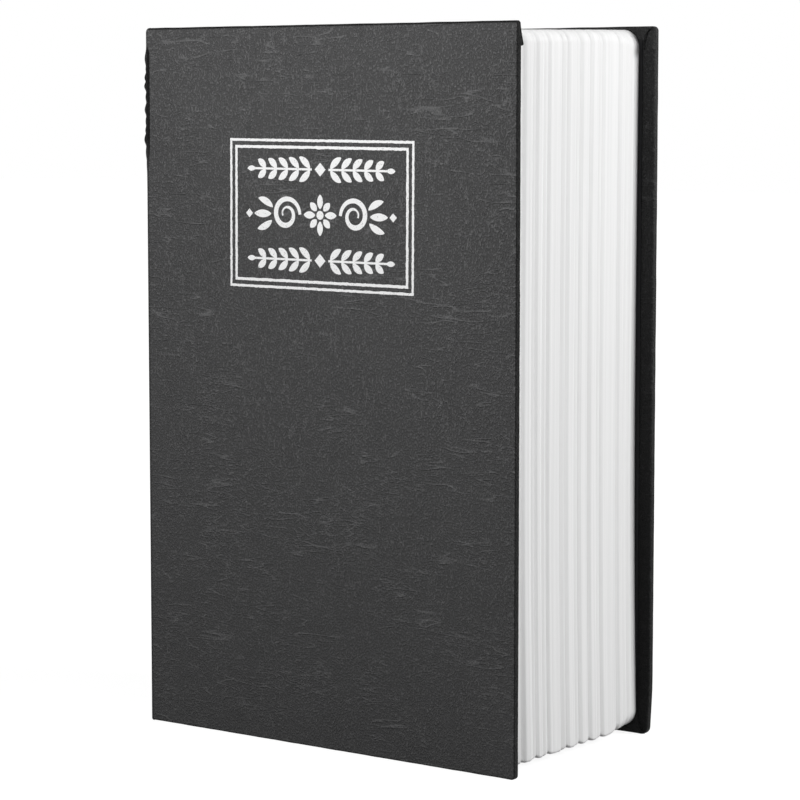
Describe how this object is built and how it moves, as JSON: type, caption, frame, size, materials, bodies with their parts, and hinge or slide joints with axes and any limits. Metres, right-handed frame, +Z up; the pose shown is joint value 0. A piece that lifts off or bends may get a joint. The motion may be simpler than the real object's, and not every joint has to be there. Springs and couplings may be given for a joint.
{
  "type": "book diversion safe",
  "caption": "Safe disguised as a hardback book: a leatherette cover over a ribbed plastic page frame with a lockable steel box inside.",
  "frame": {"origin": "centre of the base, where the book stands on its tail edge", "axes": "+X from the spine to the fore-edge, +Y from the front cover to the back cover, +Z up from the tail to the head"},
  "size_m": [0.115, 0.0636, 0.18],
  "materials": {
    "leatherette": "dark grey leather-look book cloth, embossed, satin",
    "greyboard": "raw greyboard",
    "end_paper": "smooth black end paper",
    "white_plastic": "white moulded plastic, satin",
    "black_steel": "black powder coat, fine texture",
    "zinc_steel": "bright zinc plate",
    "chrome": "polished chrome plate",
    "brass": "plain stamped brass"
  },
  "bodies": {
    "case": {"spine_wrap": "leatherette", "spine_board": "greyboard", "back_cover_wrap": "leatherette", "back_cover_board": "greyboard", "back_pastedown": "end_paper", "page_frame": "white_plastic", "steel_tray": "black_steel", "tray_rim": "black_steel", "frame_screw_1": "zinc_steel", "frame_screw_2": "zinc_steel", "frame_screw_3": "zinc_steel", "frame_screw_4": "zinc_steel", "tray_hinge_leaf": "black_steel", "hinge_pin": "zinc_steel"},
    "front_cover": {"front_cover_wrap": "leatherette", "front_cover_board": "greyboard", "front_pastedown": "end_paper"},
    "lid": {"steel_lid": "black_steel", "lid_hinge_leaf": "black_steel", "lock_housing": "chrome", "lock_washer": "zinc_steel", "lock_nut": "zinc_steel"},
    "lock_plug": {"lock_plug": "chrome", "wafer_1": "brass", "wafer_2": "brass", "wafer_3": "brass", "wafer_4": "brass", "wafer_spring_1": "zinc_steel", "wafer_spring_2": "zinc_steel", "wafer_spring_3": "zinc_steel", "wafer_spring_4": "zinc_steel", "lock_cam": "zinc_steel", "cam_washer": "zinc_steel", "cam_screw": "zinc_steel"}
  },
  "joints": [
    {"name": "cover_hinge", "type": "hinge", "parent": "case", "child": "front_cover", "pos_m": [-0.0575, -0.03175, 0.09], "axis": [0, 0, -1], "range_deg": [0, 175]},
    {"name": "lid_hinge", "type": "hinge", "parent": "case", "child": "lid", "pos_m": [-0.04705, -0.02675, 0.09], "axis": [0, 0, -1], "range_deg": [0, 120]},
    {"name": "lock_turn", "type": "hinge", "parent": "lid", "child": "lock_plug", "pos_m": [0.02535, -0.02, 0.09], "axis": [0, 1, 0], "range_deg": [0, 90]}
  ],
  "couplings": [
    {"joint": "lid_hinge", "follows": "cover_hinge", "ratio": 0.68}
  ]
}
